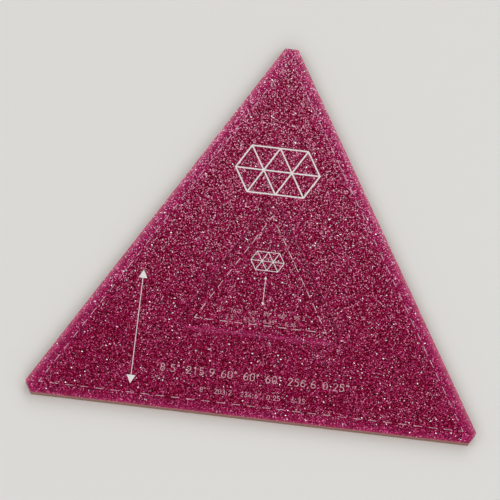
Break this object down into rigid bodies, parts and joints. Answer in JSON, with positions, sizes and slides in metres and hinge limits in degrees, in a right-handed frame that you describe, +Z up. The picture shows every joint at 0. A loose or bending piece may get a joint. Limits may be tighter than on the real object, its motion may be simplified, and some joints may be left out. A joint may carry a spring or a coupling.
{
  "type": "quilting ruler",
  "caption": "Large blunt-cornered equilateral triangle patchwork template in glitter acrylic, with a small triangle template that lifts out of the opening in its middle.",
  "frame": {"origin": "on the table under the middle of the large template's bounding box", "axes": "+X along the long front edge, +Y from the front edge towards the blunt tip, +Z up out of the engraved face"},
  "size_m": [0.2492, 0.216, 0.006],
  "materials": {
    "glitter_acrylic": "gloss",
    "white_paint": "matte"
  },
  "bodies": {
    "large_plate": {"large_template": "glitter_acrylic", "large_seam_dashes": "white_paint", "large_corner_marks": "white_paint", "large_grain_arrow": "white_paint", "large_size_numbers": "white_paint", "large_seam_numbers": "white_paint", "large_emblem": "white_paint"},
    "small_plate": {"small_template": "glitter_acrylic", "small_seam_dashes": "white_paint", "small_corner_marks": "white_paint", "small_grain_arrow": "white_paint", "small_size_numbers": "white_paint", "small_seam_numbers": "white_paint", "small_emblem": "white_paint"}
  },
  "joints": [
    {"name": "lift_out", "type": "slide", "parent": "large_plate", "child": "small_plate", "axis": [0, 0, 1], "range_m": [0, 0.04]}
  ]
}
